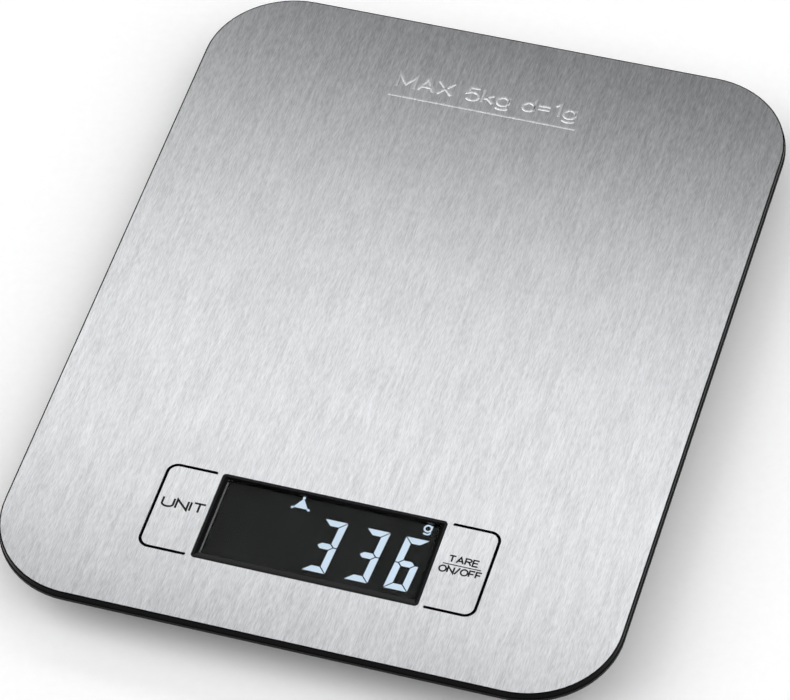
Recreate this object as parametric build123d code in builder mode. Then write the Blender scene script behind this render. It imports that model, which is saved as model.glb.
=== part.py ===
"""Flat electronic kitchen scale with a brushed steel platform, a lit display and two flexing keys.

Millimetres, +Z up. The origin is the centre of the footprint on the table. The display and keys are at
the front, which is the -Y side, and +X is to the user's right. The whole housing is the load platform:
it stands on four feet, and each foot hangs on its own load cell.
"""

from build123d import *
from math import degrees, atan2, pi, radians, tan
import os

# ---------------------------------------------------------------- overall size
overall_width = 180.0
overall_depth = 230.0
overall_height = 17.0
corner_radius = 26.8

# ---------------------------------------------------------------- platform sheet and its seat
steel_thickness = 0.6
steel_inset = 0.8  # from the overall outline to the edge of the steel
steel_gap = 0.1  # between the steel's edge and the plastic lip
tape_thickness = 0.25
tape_margin = 3.0
tape_frame = 14.0
tape_window_margin = 4.0

# ---------------------------------------------------------------- top carrier
deck_thickness = 1.2
lip_drop = 0.1  # the lip stands this far below the steel, so that a pan rests on steel only
rim_height = 2.0  # from the steel's top down to the parting line
rim_inset = 0.2  # the carrier's rim stands back from the base's flange
lip_inset = 0.4  # the rim leans in to this at its top
rim_wall = 2.6
skirt_inset = 4.0
skirt_wall = 1.4
skirt_depth = 1.5
rib_wall = 1.2
rib_depth = 2.2
rib_from_key = 6.0  # lengthwise ribs, inwards from the keys' outer slots
rib_overhang = 24.0  # crosswise ribs, outwards from the lengthwise ones
rib_from_window = 12.0
rib_from_back = 22.0
rib_middle_shift = 8.0
boss_blind = 1.0  # solid left above a screw hole
board_boss_blind = 0.5

# ---------------------------------------------------------------- base shell
ground_clearance = 2.2
floor_thickness = 1.8
flange_height = 1.0  # straight band under the parting line
belly_inset = 12.0  # how far the sloped belly draws in by its flat underside
belly_fillet = 2.0
base_wall = 2.6  # measured level, at the flange
deck_gap = 0.1  # between the compartment walls and the deck

# ---------------------------------------------------------------- display window and keys
window_width = 65.9
window_depth = 29.8
window_corner = 1.2
window_from_front = 36.1  # window centre to the front edge of the scale
slot_width = 0.9
slot_reach = 48.5  # centreline of the key slot's outer run, from the middle of the scale
slot_radius = 3.0
slot_end = 34.9  # where the slot stops, short of the window
neck_gap = 0.02  # running gap across the neck that a key twists on
key_post_radius = 1.8
key_post_gap = 0.1
key_pocket = 0.6  # depth of the pocket in the deck that a pressed key bends into
key_pocket_margin = 0.8
post_hole_gap = 0.6
edge_break = 0.3  # small chamfer on the ends of posts, pads and mouldings
key_travel = 0.25  # at the switch

# ---------------------------------------------------------------- display stack
bezel_gap = 0.2
bezel_drop = 0.1
bezel_flange = 1.6
bezel_flange_thickness = 0.8
bezel_lip = 0.6
bevel_depth = 0.7
bevel_side = 1.6
bevel_back = 0.9
bevel_front = 2.4
lens_thickness = 1.2
lens_wall = 0.7
lens_gap = 0.1
glass_side_margin = 1.9  # from the window's edge to the liquid crystal cell
glass_end_margin = 1.1
glass_thickness = 2.0
glass_gap = 0.15
backlight_thickness = 1.8
zebra_end_margin = 3.8
zebra_depth = 2.2
zebra_fillet = 0.4
led_width = 2.0
led_depth = 4.0
holder_wall = 1.8
holder_corner = 1.0

# ---------------------------------------------------------------- circuit board
board_width = 93.0
board_depth = 34.5
board_thickness = 1.6
board_corner = 1.5
board_shift = 1.2  # board's middle, behind the window's middle
board_screw_inset = 2.8
board_boss_radius = 2.5
board_screw_radius = 0.9
board_screw_grip = 3.0
board_screw_head_radius = 2.0
board_screw_head_height = 1.2
switch_side = 6.2
switch_height = 3.4
plunger_radius = 1.6
plunger_gap = 0.1
plunger_length = 2.4
plunger_chamfer = 0.2
plunger_end_gap = 0.1
chip_radius = 6.0
chip_height = 1.6
chip_shift = 3.0
header_width = 44.0
header_depth = 5.0
header_height = 2.8

# ---------------------------------------------------------------- feet and load cells
foot_from_side = 30.0
foot_from_end = 31.0
foot_radius = 11.5
foot_body_bottom = 0.7
foot_height = 2.9
foot_fillet = 0.8
foot_gap = 1.0
foot_travel = 0.5
foot_top_gap = 0.3  # left above the foot at the end of its travel
well_wall = 1.9
well_roof = 1.6
stem_radius = 3.5
pad_radius = 9.4
pad_thickness = 1.3
pad_seat = 0.2
pad_groove_radii = (3.5, 6.5)
pad_groove = 0.4  # depth, and half width
cell_height = 9.0  # underside of the load cell above the table
cell_thickness = 1.2
cell_width = 24.0
cell_corner = 2.0
cell_tip = 9.0  # from the foot's axis to the tip end of the cell
cell_root = 25.0  # and to its root end
tongue_width = 10.0
tongue_tip = 4.5
tongue_root = 15.0
tongue_slot = 1.5
cell_screw_spread = 9.2
cell_screw_along = 2.0
cell_boss_radius = 2.7
cell_screw_hole = 0.6  # how far its hole runs into the well's roof
gauge_length = 6.0
gauge_width = 7.0
gauge_height = 1.9
gauge_along = 11.0
gauge_corner = 1.5

# ---------------------------------------------------------------- fasteners
screw_radius = 1.25
screw_clearance = 0.35
screw_head_radius = 2.7
screw_head_height = 1.8
head_fillet_share = 0.35
cross_length_share = 1.1  # cross recess, by the head's radius
cross_width_share = 0.26
cross_depth_share = 0.55  # and by its height
housing_screw_grip = 4.5
cell_screw_grip = 2.8
cell_screw_head_share = 0.9
foot_screw_grip = 4.0
screw_recess_radius = 3.0
screw_recess_depth = 3.0
boss_radius = 3.2
boss_joint_z = 9.0  # the base's bosses meet the carrier's here
side_screw_inset = 20.0
side_screw_pitch = 50.0
end_screw_inset = 16.4
end_screw_spread = 25.0
fit_gap = 0.02

# ---------------------------------------------------------------- battery compartment
cell_diameter = 10.5
cell_length = 44.5
nub_radius = 1.9
nub_length = 1.0
cell_fillet = 0.5
cells_apart = 11.2
compartment_y = 10.0
compartment_wall = 1.4
compartment_half_depth = 11.2
spring_length = 2.9
contact_thickness = 0.4
contact_side = 8.6
dimple_height = 1.0
dimple_radius = 2.0
dimple_tip_radius = 1.5
contact_tail = 1.2
contact_tail_half = 1.0
tail_window_half_depth = 1.2
tail_window_half_height = 0.6
spring_wire = 0.6
spring_radius = 3.2
spring_turns = 2.5
spring_sink = 0.05  # how far the coil is sunk into its plate
spring_reach = 0.04  # and how much longer that makes it
ledge = 2.2
ledge_thickness = 1.3
cover_thickness = 1.3
cover_gap = 0.2
cover_top_gap = 0.1
battery_lift = 0.35  # cells above the cover
hinge_barrel_radius = 0.9
hinge_pin_radius = 0.6
hinge_pin_length = 1.0
hinge_pin_gap = 0.05
hinge_end_gap = 0.1
latch_width = 12.0
latch_length = 7.0
latch_slot = 0.8
latch_nib = 0.12
latch_nib_height = 0.5
grip_count = 4
grip_pitch = 1.3
grip_from_edge = 1.4
grip_width = 0.6
grip_depth = 0.4
grip_share = 0.7  # of the latch's width
cradle_share = 0.55  # place of the ribs under the cells, along half the compartment
cradle_rib = 1.2
cradle_gap = 0.1
thumb_radius = 16.0
thumb_depth = 0.9

# ---------------------------------------------------------------- leads
bend_share = 0.47
lead_radius = 0.8
battery_lead_radius = 0.7
clip_height = 4.0
clip_wall = 1.2
clip_length = 3.0
clip_rows = (18.0, -6.0)
lead_lane = 42.0
lead_floor_gap = 0.1
clip_gap = 0.2
lead_overrun = 10.0  # straight run past the end of a load cell
rear_lane_start = 36.0
rear_lane_end = -28.0
rear_turn_y = -42.0
front_turn_y = (-38.0, -44.0)
lead_rise_y = -53.0  # where every lead leaves the floor for the header
front_header_x = 18.0
rear_header_x = 12.0
battery_header_x = 4.0
battery_turn_y = -14.0
battery_cross_y = (-36.0, -38.0)  # negative and positive lead
battery_bend_x = (4.5, 9.0)

# ---------------------------------------------------------------- levels and places worked out
steel_bottom = overall_height - steel_thickness
tape_bottom = steel_bottom - tape_thickness
deck_bottom = tape_bottom - deck_thickness
parting_z = overall_height - rim_height
lip_top = overall_height - lip_drop
belly_top = parting_z - flange_height
floor_bottom = ground_clearance
floor_top = floor_bottom + floor_thickness

window_y = window_from_front - overall_depth / 2
window_half = window_width / 2
slot_front = window_y - window_depth / 2 + slot_width / 2
slot_back = window_y + window_depth / 2 - slot_width / 2
key_outer = slot_reach - slot_width / 2
neck_inner = slot_end - slot_width / 2
key_hinge_x = (neck_inner + window_half) / 2
key_post_x = (key_outer + neck_inner) / 2

bezel_top = overall_height - bezel_drop
lens_top = bezel_top - bevel_depth
lens_bottom = lens_top - lens_thickness
bezel_width = window_width - 2 * bezel_gap
bezel_depth = window_depth - 2 * bezel_gap
view_width = bezel_width - 2 * bevel_side
view_depth = bezel_depth - bevel_back - bevel_front
view_y = window_y + (bevel_front - bevel_back) / 2
glass_width = window_width - 2 * glass_side_margin
glass_depth = window_depth - 2 * glass_end_margin
zebra_width = glass_width - 2 * zebra_end_margin
glass_top = lens_bottom - lens_gap
glass_bottom = glass_top - glass_thickness
board_top = glass_bottom - backlight_thickness
board_bottom = board_top - board_thickness
board_y = window_y + board_shift
board_screw_x = board_width / 2 - board_screw_inset
board_screw_y = board_depth / 2 - board_screw_inset
header_y = board_y + board_depth / 2 - header_depth
post_bottom = board_top + switch_height + plunger_length / 4 + key_post_gap
plunger_top = post_bottom - key_post_gap

foot_x = overall_width / 2 - foot_from_side
foot_y = overall_depth / 2 - foot_from_end
foot_top = foot_body_bottom + foot_height
well_ceiling = foot_top + foot_travel + foot_top_gap
well_top = well_ceiling + well_roof
well_radius = foot_radius + foot_gap
stem_hole_radius = stem_radius + foot_gap
cell_top = cell_height + cell_thickness

side_screw_x = overall_width / 2 - side_screw_inset
end_screw_y = overall_depth / 2 - end_screw_inset
housing_screw_points = [(x * side_screw_x, y * side_screw_pitch) for x in (-1, 1) for y in (-1, 0, 1)]
housing_screw_points += [(x * end_screw_spread, y * end_screw_y) for x in (-1, 1) for y in (-1, 1)]
screw_seat_z = floor_bottom + screw_recess_depth

compartment_half = (cell_length + spring_length + dimple_height) / 2 + contact_thickness
compartment_top = deck_bottom - deck_gap
cell_axis_z = floor_bottom + cover_thickness + battery_lift + cell_diameter / 2
ledge_z = floor_bottom + cover_thickness + cover_top_gap
ledge_top = ledge_z + ledge_thickness
compartment_back = compartment_y + compartment_half_depth
compartment_front = compartment_y - compartment_half_depth
recess_front = compartment_front - ledge
hinge_y = compartment_back - cover_gap / 2 - hinge_barrel_radius
hinge_z = floor_bottom + hinge_barrel_radius

corners = {
    "front_left": (-1, -1),
    "front_right": (1, -1),
    "back_left": (-1, 1),
    "back_right": (1, 1),
}

os.makedirs("parts", exist_ok=True)


def keep(part, name):
    """Labels a finished piece and writes it as one STEP file."""
    part.label = name
    export_step(part, f"parts/{name}.step")


def outline(inset, mode=Mode.ADD):
    """The scale's rounded plan outline, drawn in by an even inset."""
    RectangleRounded(
        overall_width - 2 * inset, overall_depth - 2 * inset, corner_radius - inset, mode=mode
    )


def slope(run, rise):
    """The taper, in degrees, of a wall that draws in by run over a height of rise."""
    return degrees(atan2(run, rise))


def block(x0, x1, y0, y1, z0, z1, mode=Mode.ADD):
    """A square-edged block between two corners, for the part being built."""
    with Locations(((x0 + x1) / 2, (y0 + y1) / 2, (z0 + z1) / 2)):
        Box(x1 - x0, y1 - y0, z1 - z0, mode=mode)


def column(points, radius, z0, z1, mode=Mode.ADD):
    """Round columns, or holes, at plan points between two heights."""
    with Locations(*[(x, y, z0) for x, y in points]):
        Cylinder(radius, z1 - z0, align=(Align.CENTER, Align.CENTER, Align.MIN), mode=mode)


def rod(x0, x1, y, z, radius, mode=Mode.ADD):
    """A round rod, or hole, that lies along X."""
    with Locations(((x0 + x1) / 2, y, z)):
        Cylinder(radius, x1 - x0, rotation=(0, 90, 0), mode=mode)


# ---------------------------------------------------------------- steel platform


def key_recess():
    """Plan of the platform's cut for the left key: the tongue, its slot and half of each neck."""
    with BuildSketch(mode=Mode.PRIVATE) as recess:
        with Locations((-(slot_reach + slot_width / 2 + slot_end) / 2, (slot_front + slot_back) / 2)):
            Rectangle(slot_reach + slot_width / 2 - slot_end, slot_back - slot_front + slot_width)
        fillet(recess.vertices().group_by(Axis.X)[0], slot_radius + slot_width / 2)
        with Locations((-slot_end, slot_front), (-slot_end, slot_back)):
            Circle(slot_width / 2)
        with Locations((-(slot_end + window_half) / 2, (slot_front + slot_back) / 2)):
            Rectangle(slot_end - window_half, slot_back - slot_front)
    return recess.sketch


def key_tongue():
    """Plan of the left key itself, with the half neck at each end that it twists on."""
    tongue_depth = slot_back - slot_front - slot_width
    with BuildSketch(mode=Mode.PRIVATE) as tongue:
        with Locations((-(key_outer + window_half) / 2, (slot_front + slot_back) / 2)):
            Rectangle(key_outer - window_half, tongue_depth)
        fillet(tongue.vertices().group_by(Axis.X)[0], slot_radius - slot_width / 2)
        with Locations((-key_hinge_x, (slot_front + slot_back) / 2)):
            Rectangle(neck_inner - window_half, slot_back - slot_front - 2 * neck_gap)
    return tongue.sketch


with BuildPart() as steel_platform:
    with BuildSketch(Plane.XY.offset(steel_bottom)):
        outline(steel_inset)
        with Locations((0, window_y)):
            RectangleRounded(window_width, window_depth, window_corner, mode=Mode.SUBTRACT)
        left_recess = key_recess()
        add(left_recess, mode=Mode.SUBTRACT)
        add(mirror(left_recess, about=Plane.YZ, mode=Mode.PRIVATE), mode=Mode.SUBTRACT)
    extrude(amount=steel_thickness)
keep(steel_platform.part, "steel_platform")


def make_key(name, side):
    """One key: a tongue of the platform sheet, left on the -X side or mirrored to the +X side."""
    tongue = key_tongue()
    if side > 0:
        tongue = mirror(tongue, about=Plane.YZ, mode=Mode.PRIVATE)
    with BuildPart() as key:
        with BuildSketch(Plane.XY.offset(steel_bottom)):
            add(tongue)
        extrude(amount=steel_thickness)
    keep(key.part, name)


def make_key_post(name, side):
    """The plastic post bonded under a key, which presses its switch."""
    with BuildPart() as post:
        column([(side * key_post_x, window_y)], key_post_radius, post_bottom, steel_bottom)
        chamfer(post.edges().group_by(Axis.Z)[0], edge_break)
    keep(post.part, name)


with BuildPart() as platform_tape:
    with BuildSketch(Plane.XY.offset(tape_bottom)):
        outline(steel_inset + tape_margin)
        bay_width = overall_width - 2 * (steel_inset + tape_margin + tape_frame)
        bay_front = window_y + window_depth / 2 + tape_frame
        bay_back = overall_depth / 2 - steel_inset - tape_margin - tape_frame
        bay_depth = (bay_back - bay_front - tape_frame) / 2
        for bay_y in (bay_front + bay_depth / 2, bay_back - bay_depth / 2):
            with Locations((0, bay_y)):
                RectangleRounded(bay_width, bay_depth, tape_frame / 2, mode=Mode.SUBTRACT)
        with Locations((0, window_y)):
            Rectangle(
                2 * (slot_reach + tape_window_margin),
                window_depth + 2 * tape_window_margin,
                mode=Mode.SUBTRACT,
            )
    extrude(amount=tape_thickness)
keep(platform_tape.part, "platform_tape")

# ---------------------------------------------------------------- top carrier

key_pocket_width = key_outer - window_half + 2 * key_pocket_margin
key_pocket_x = (key_outer + window_half) / 2
board_screw_points = [
    (x * board_screw_x, board_y + y * board_screw_y) for x in (-1, 1) for y in (-1, 1)
]

with BuildPart() as top_carrier:
    with BuildSketch(Plane.XY.offset(parting_z)):
        outline(rim_inset)
    extrude(amount=lip_top - parting_z, taper=slope(lip_inset - rim_inset, lip_top - parting_z))
    with BuildSketch(Plane.XY.offset(tape_bottom)):
        outline(steel_inset - steel_gap)
    extrude(amount=overall_height - tape_bottom, mode=Mode.SUBTRACT)
    with BuildSketch(Plane.XY.offset(deck_bottom)):
        outline(rim_wall)
    extrude(amount=parting_z - deck_bottom)
    # locating skirt inside the base's wall
    with BuildSketch(Plane.XY.offset(deck_bottom - skirt_depth)):
        outline(skirt_inset)
        outline(skirt_inset + skirt_wall, mode=Mode.SUBTRACT)
    extrude(amount=skirt_depth)
    # stiffening ribs behind the display and round the battery compartment
    rib_bottom = deck_bottom - rib_depth
    rib_x = slot_reach - rib_from_key
    rib_end = rib_x + rib_overhang
    half_rib = rib_wall / 2
    rib_front = window_y + window_depth / 2 + rib_from_window
    rib_back = overall_depth / 2 - skirt_inset - skirt_wall
    for side_x in (-rib_x, rib_x):
        block(side_x - half_rib, side_x + half_rib, rib_front, rib_back, rib_bottom, deck_bottom)
    for rib_y in (rib_front, rib_back / 2 - rib_middle_shift, rib_back - rib_from_back):
        block(-rib_end, rib_end, rib_y - half_rib, rib_y + half_rib, rib_bottom, deck_bottom)
    # bosses for the housing screws and for the board
    column(housing_screw_points, boss_radius, boss_joint_z, deck_bottom)
    column(housing_screw_points, screw_radius, boss_joint_z, deck_bottom - boss_blind, mode=Mode.SUBTRACT)
    column(board_screw_points, board_boss_radius, board_top, deck_bottom)
    board_hole_top = deck_bottom - board_boss_blind
    column(board_screw_points, board_screw_radius, board_top, board_hole_top, mode=Mode.SUBTRACT)
    # opening for the bezel, pockets under the keys and holes for their posts
    with BuildSketch(Plane.XY.offset(deck_bottom)):
        with Locations((0, window_y)):
            RectangleRounded(window_width, window_depth, window_corner)
    extrude(amount=overall_height - deck_bottom, mode=Mode.SUBTRACT)
    with BuildSketch(Plane.XY.offset(tape_bottom - key_pocket)):
        with Locations((-key_pocket_x, window_y), (key_pocket_x, window_y)):
            Rectangle(key_pocket_width, window_depth)
    extrude(amount=overall_height - tape_bottom, mode=Mode.SUBTRACT)
    column(
        [(-key_post_x, window_y), (key_post_x, window_y)],
        key_post_radius + post_hole_gap,
        deck_bottom,
        tape_bottom,
        mode=Mode.SUBTRACT,
    )
keep(top_carrier.part, "top_carrier")

# ---------------------------------------------------------------- display


with BuildPart() as display_bezel:
    with BuildSketch(Plane.XY.offset(deck_bottom - bezel_flange_thickness)):
        with Locations((0, window_y)):
            RectangleRounded(bezel_width + 2 * bezel_flange, bezel_depth + 2 * bezel_flange, window_corner)
    extrude(amount=bezel_flange_thickness)
    with BuildSketch(Plane.XY.offset(deck_bottom)):
        with Locations((0, window_y)):
            RectangleRounded(bezel_width, bezel_depth, window_corner - bezel_gap)
    extrude(amount=bezel_top - deck_bottom)
    # sloped inner faces, widest at the front
    with BuildSketch(Plane.XY.offset(bezel_top)):
        with Locations((0, window_y)):
            Rectangle(bezel_width - 2 * bezel_lip, bezel_depth - 2 * bezel_lip)
    with BuildSketch(Plane.XY.offset(lens_top)):
        with Locations((0, view_y)):
            Rectangle(view_width, view_depth)
    loft(mode=Mode.SUBTRACT)
    # pocket that holds the lens, open below
    with BuildSketch(Plane.XY.offset(deck_bottom - bezel_flange_thickness)):
        with Locations((0, window_y)):
            Rectangle(bezel_width - 2 * lens_wall, bezel_depth - 2 * lens_wall)
    extrude(amount=lens_top - deck_bottom + bezel_flange_thickness, mode=Mode.SUBTRACT)
keep(display_bezel.part, "display_bezel")

with BuildPart() as display_lens:
    with BuildSketch(Plane.XY.offset(lens_bottom)):
        with Locations((0, window_y)):
            Rectangle(
                bezel_width - 2 * lens_wall - 2 * lens_gap, bezel_depth - 2 * lens_wall - 2 * lens_gap
            )
    extrude(amount=lens_thickness)
keep(display_lens.part, "display_lens")

with BuildPart() as lcd_panel:
    with Locations((0, window_y, (glass_bottom + glass_top) / 2)):
        Box(glass_width, glass_depth, glass_thickness)
    # the lower glass stops short at the back, so that the zebra strip reaches the upper glass
    with Locations((0, window_y + glass_depth / 2, glass_bottom)):
        Box(glass_width, 2 * (zebra_depth + glass_gap), glass_thickness, mode=Mode.SUBTRACT)
keep(lcd_panel.part, "lcd_panel")

backlight_front = window_y - glass_depth / 2
backlight_back = window_y + glass_depth / 2 - zebra_depth - glass_gap
backlight_right = glass_width / 2
backlight_left = -glass_width / 2 + led_width + glass_gap

with BuildPart() as lcd_backlight:
    block(backlight_left, backlight_right, backlight_front, backlight_back, board_top, glass_bottom)
keep(lcd_backlight.part, "lcd_backlight")

with BuildPart() as backlight_led:
    led_y = (backlight_front + backlight_back) / 2
    block(
        -glass_width / 2,
        -glass_width / 2 + led_width,
        led_y - led_depth / 2,
        led_y + led_depth / 2,
        board_top,
        glass_bottom - glass_gap,
    )
keep(backlight_led.part, "backlight_led")

with BuildPart() as zebra_strip:
    zebra_back = window_y + glass_depth / 2
    zebra_top = (glass_bottom + glass_top) / 2
    block(-zebra_width / 2, zebra_width / 2, zebra_back - zebra_depth, zebra_back, board_top, zebra_top)
    fillet(zebra_strip.edges().filter_by(Axis.X), zebra_fillet)
keep(zebra_strip.part, "zebra_strip")

with BuildPart() as lcd_holder:
    holder_width = glass_width + 2 * glass_gap
    holder_depth = glass_depth + 2 * glass_gap
    with BuildSketch(Plane.XY.offset(board_top)):
        with Locations((0, window_y)):
            RectangleRounded(holder_width + 2 * holder_wall, holder_depth + 2 * holder_wall, holder_corner)
            Rectangle(holder_width, holder_depth, mode=Mode.SUBTRACT)
    extrude(amount=deck_bottom - bezel_flange_thickness - board_top - glass_gap)
keep(lcd_holder.part, "lcd_holder")

# ---------------------------------------------------------------- circuit board

with BuildPart() as main_board:
    with BuildSketch(Plane.XY.offset(board_bottom)):
        with Locations((0, board_y)):
            RectangleRounded(board_width, board_depth, board_corner)
        with Locations(*board_screw_points):
            Circle(board_screw_radius + screw_clearance, mode=Mode.SUBTRACT)
    extrude(amount=board_thickness)
keep(main_board.part, "main_board")

with BuildPart() as controller_chip:
    chip_place = [(board_width / 5, board_y - chip_shift)]
    column(chip_place, chip_radius, board_bottom - chip_height, board_bottom)
    fillet(controller_chip.edges().group_by(Axis.Z)[0], chip_height * 0.8)
keep(controller_chip.part, "controller_chip")

with BuildPart() as lead_header:
    block(
        -header_width / 2,
        header_width / 2,
        header_y,
        header_y + header_depth,
        board_bottom - header_height,
        board_bottom,
    )
    chamfer(lead_header.edges().group_by(Axis.Z)[0], edge_break)
keep(lead_header.part, "lead_header")


def make_screws(name, points, seat_z, length, head_up, radius, head_radius, head_height):
    """A set of pan-head screws, the underside of each head at seat_z. A head that is up points to +Z."""
    up = 1 if head_up else -1
    top_z = seat_z + up * head_height
    tip_z = seat_z - up * length
    with BuildPart() as screws:
        column(points, head_radius, min(seat_z, top_z), max(seat_z, top_z))
        crown = screws.edges().group_by(Axis.Z)[-1 if head_up else 0]
        fillet(crown, head_height * head_fillet_share)
        column(points, radius, min(seat_z, tip_z), max(seat_z, tip_z))
        # cross recess
        with BuildSketch(Plane.XY.offset(top_z)):
            with Locations(*points):
                Rectangle(head_radius * cross_length_share, head_radius * cross_width_share)
                Rectangle(head_radius * cross_width_share, head_radius * cross_length_share)
        extrude(amount=-up * head_height * cross_depth_share, mode=Mode.SUBTRACT)
    keep(screws.part, name)


make_screws(
    "board_screws",
    board_screw_points,
    board_bottom,
    board_thickness + board_screw_grip,
    False,
    board_screw_radius - fit_gap,
    board_screw_head_radius,
    board_screw_head_height,
)


def make_switch(name, side):
    """The tactile switch under a key: a fixed housing and the plunger that travels in it."""
    place = [(side * key_post_x, window_y)]
    plunger_bottom = plunger_top - plunger_length
    with BuildPart() as housing:
        with Locations((side * key_post_x, window_y, board_top + switch_height / 2)):
            Box(switch_side, switch_side, switch_height)
        column(
            place,
            plunger_radius + plunger_gap,
            plunger_bottom - key_travel - plunger_end_gap,
            board_top + switch_height,
            mode=Mode.SUBTRACT,
        )
    keep(housing.part, f"{name}_switch_housing")
    with BuildPart() as plunger:
        column(place, plunger_radius, plunger_bottom, plunger_top)
        chamfer(plunger.edges().group_by(Axis.Z)[-1], plunger_chamfer)
    keep(plunger.part, f"{name}_switch_plunger")


for key_name, key_side in (("unit", -1), ("tare", 1)):
    make_key(f"{key_name}_key", key_side)
    make_key_post(f"{key_name}_key_post", key_side)
    make_switch(key_name, key_side)

# ---------------------------------------------------------------- base shell

belly_height = belly_top - floor_bottom
belly_slope = slope(belly_inset, belly_height)
foot_points = [(x * foot_x, y * foot_y) for x, y in corners.values()]
cell_screw_points = [
    (x * foot_x + u * cell_screw_spread, y * (foot_y - cell_screw_along))
    for x, y in corners.values()
    for u in (-1, 1)
]
wall_half_x = compartment_half + compartment_wall
wall_front_y = compartment_front - compartment_wall
wall_back_y = compartment_back + compartment_wall

with BuildPart() as base_shell:
    with BuildSketch(Plane.XY.offset(belly_top)):
        outline(0)
    extrude(amount=flange_height)
    with BuildSketch(Plane.XY.offset(belly_top)):
        outline(0)
    extrude(amount=-belly_height, taper=belly_slope)
    fillet(base_shell.faces().sort_by(Axis.Z)[0].edges(), belly_fillet)
    with BuildSketch(Plane.XY.offset(belly_top)):
        outline(base_wall)
    extrude(amount=flange_height, mode=Mode.SUBTRACT)
    with BuildSketch(Plane.XY.offset(belly_top)):
        outline(base_wall)
    extrude(amount=floor_top - belly_top, taper=belly_slope, mode=Mode.SUBTRACT)
    # foot wells
    column(foot_points, well_radius + well_wall, floor_bottom, well_top)
    column(foot_points, well_radius, floor_bottom, well_ceiling, mode=Mode.SUBTRACT)
    column(cell_screw_points, cell_boss_radius, well_top, cell_height)
    column(cell_screw_points, screw_radius, well_top - cell_screw_hole, cell_height, mode=Mode.SUBTRACT)
    column(foot_points, stem_hole_radius, well_ceiling, well_top, mode=Mode.SUBTRACT)
    # bosses for the housing screws
    column(housing_screw_points, boss_radius, floor_bottom, boss_joint_z)
    clearance_radius = screw_radius + screw_clearance
    column(housing_screw_points, clearance_radius, floor_bottom, boss_joint_z, mode=Mode.SUBTRACT)
    column(housing_screw_points, screw_recess_radius, floor_bottom, screw_seat_z, mode=Mode.SUBTRACT)
    # battery compartment: walls up to the deck, a thickened floor and a recess for the cover
    block(-wall_half_x, wall_half_x, wall_front_y, wall_back_y, floor_bottom, compartment_top)
    ledge_front = recess_front - ledge_thickness
    block(-wall_half_x, wall_half_x, ledge_front, compartment_front, floor_bottom, ledge_top)
    block(
        -compartment_half,
        compartment_half,
        compartment_front,
        compartment_back,
        floor_bottom,
        compartment_top,
        mode=Mode.SUBTRACT,
    )
    block(
        -compartment_half,
        compartment_half,
        recess_front,
        compartment_front,
        floor_bottom,
        ledge_z,
        mode=Mode.SUBTRACT,
    )
    for side in (-1, 1):
        pin_end = compartment_half + hinge_pin_length + hinge_end_gap
        ends = sorted((side * compartment_half, side * pin_end))
        rod(*ends, hinge_y, hinge_z, hinge_pin_radius + hinge_pin_gap, mode=Mode.SUBTRACT)
    # windows in the end walls for the contacts' solder tails
    for tail_y in (compartment_y - cells_apart / 2, compartment_y + cells_apart / 2):
        block(
            -wall_half_x,
            -compartment_half,
            tail_y - tail_window_half_depth,
            tail_y + tail_window_half_depth,
            cell_axis_z - tail_window_half_height,
            cell_axis_z + tail_window_half_height,
            mode=Mode.SUBTRACT,
        )
    # thumb scoop in front of the cover's latch
    with Locations((0, recess_front, floor_bottom - thumb_radius + thumb_depth)):
        Sphere(thumb_radius, mode=Mode.SUBTRACT)
    # clips that hold the rear load cells' leads down
    clip_offset = lead_radius + clip_gap + clip_wall / 2
    clip_x = [side * lead_lane + u * clip_offset for side in (-1, 1) for u in (-1, 1)]
    with Locations(*[(x, y, floor_top + clip_height / 2) for x in clip_x for y in clip_rows]):
        Box(clip_wall, clip_length, clip_height)
keep(base_shell.part, "base_shell")

make_screws(
    "housing_screws",
    housing_screw_points,
    screw_seat_z,
    boss_joint_z - screw_seat_z + housing_screw_grip,
    False,
    screw_radius - fit_gap,
    screw_head_radius,
    screw_head_height,
)
make_screws(
    "load_cell_screws",
    cell_screw_points,
    cell_top,
    cell_thickness + cell_screw_grip,
    True,
    screw_radius - fit_gap,
    screw_head_radius * cell_screw_head_share,
    screw_head_height * cell_screw_head_share,
)

# ---------------------------------------------------------------- feet and load cells


def make_foot(corner, x, y):
    """One foot with its stem, its rubber pad and the screw that hangs it on the load cell's tongue."""
    place = [(x * foot_x, y * foot_y)]
    with BuildPart() as foot:
        column(place, foot_radius, foot_body_bottom, foot_top)
        fillet(foot.edges().group_by(Axis.Z)[0], foot_fillet)
        column(place, stem_radius, foot_top, cell_height)
        column(place, pad_radius + pad_seat, foot_body_bottom, pad_thickness, mode=Mode.SUBTRACT)
        column(place, screw_radius, foot_top, cell_height, mode=Mode.SUBTRACT)
    keep(foot.part, f"foot_{corner}")
    with BuildPart() as pad:
        column(place, pad_radius, 0, pad_thickness)
        chamfer(pad.edges().group_by(Axis.Z)[0], edge_break)
        with BuildSketch(Plane.XY):
            for groove in pad_groove_radii:
                with Locations(*place):
                    Circle(groove + pad_groove)
                    Circle(groove - pad_groove, mode=Mode.SUBTRACT)
        extrude(amount=pad_groove, mode=Mode.SUBTRACT)
    keep(pad.part, f"foot_pad_{corner}")
    make_screws(
        f"foot_screw_{corner}",
        place,
        cell_top,
        cell_thickness + foot_screw_grip,
        True,
        screw_radius - fit_gap,
        screw_head_radius,
        screw_head_height,
    )


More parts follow.
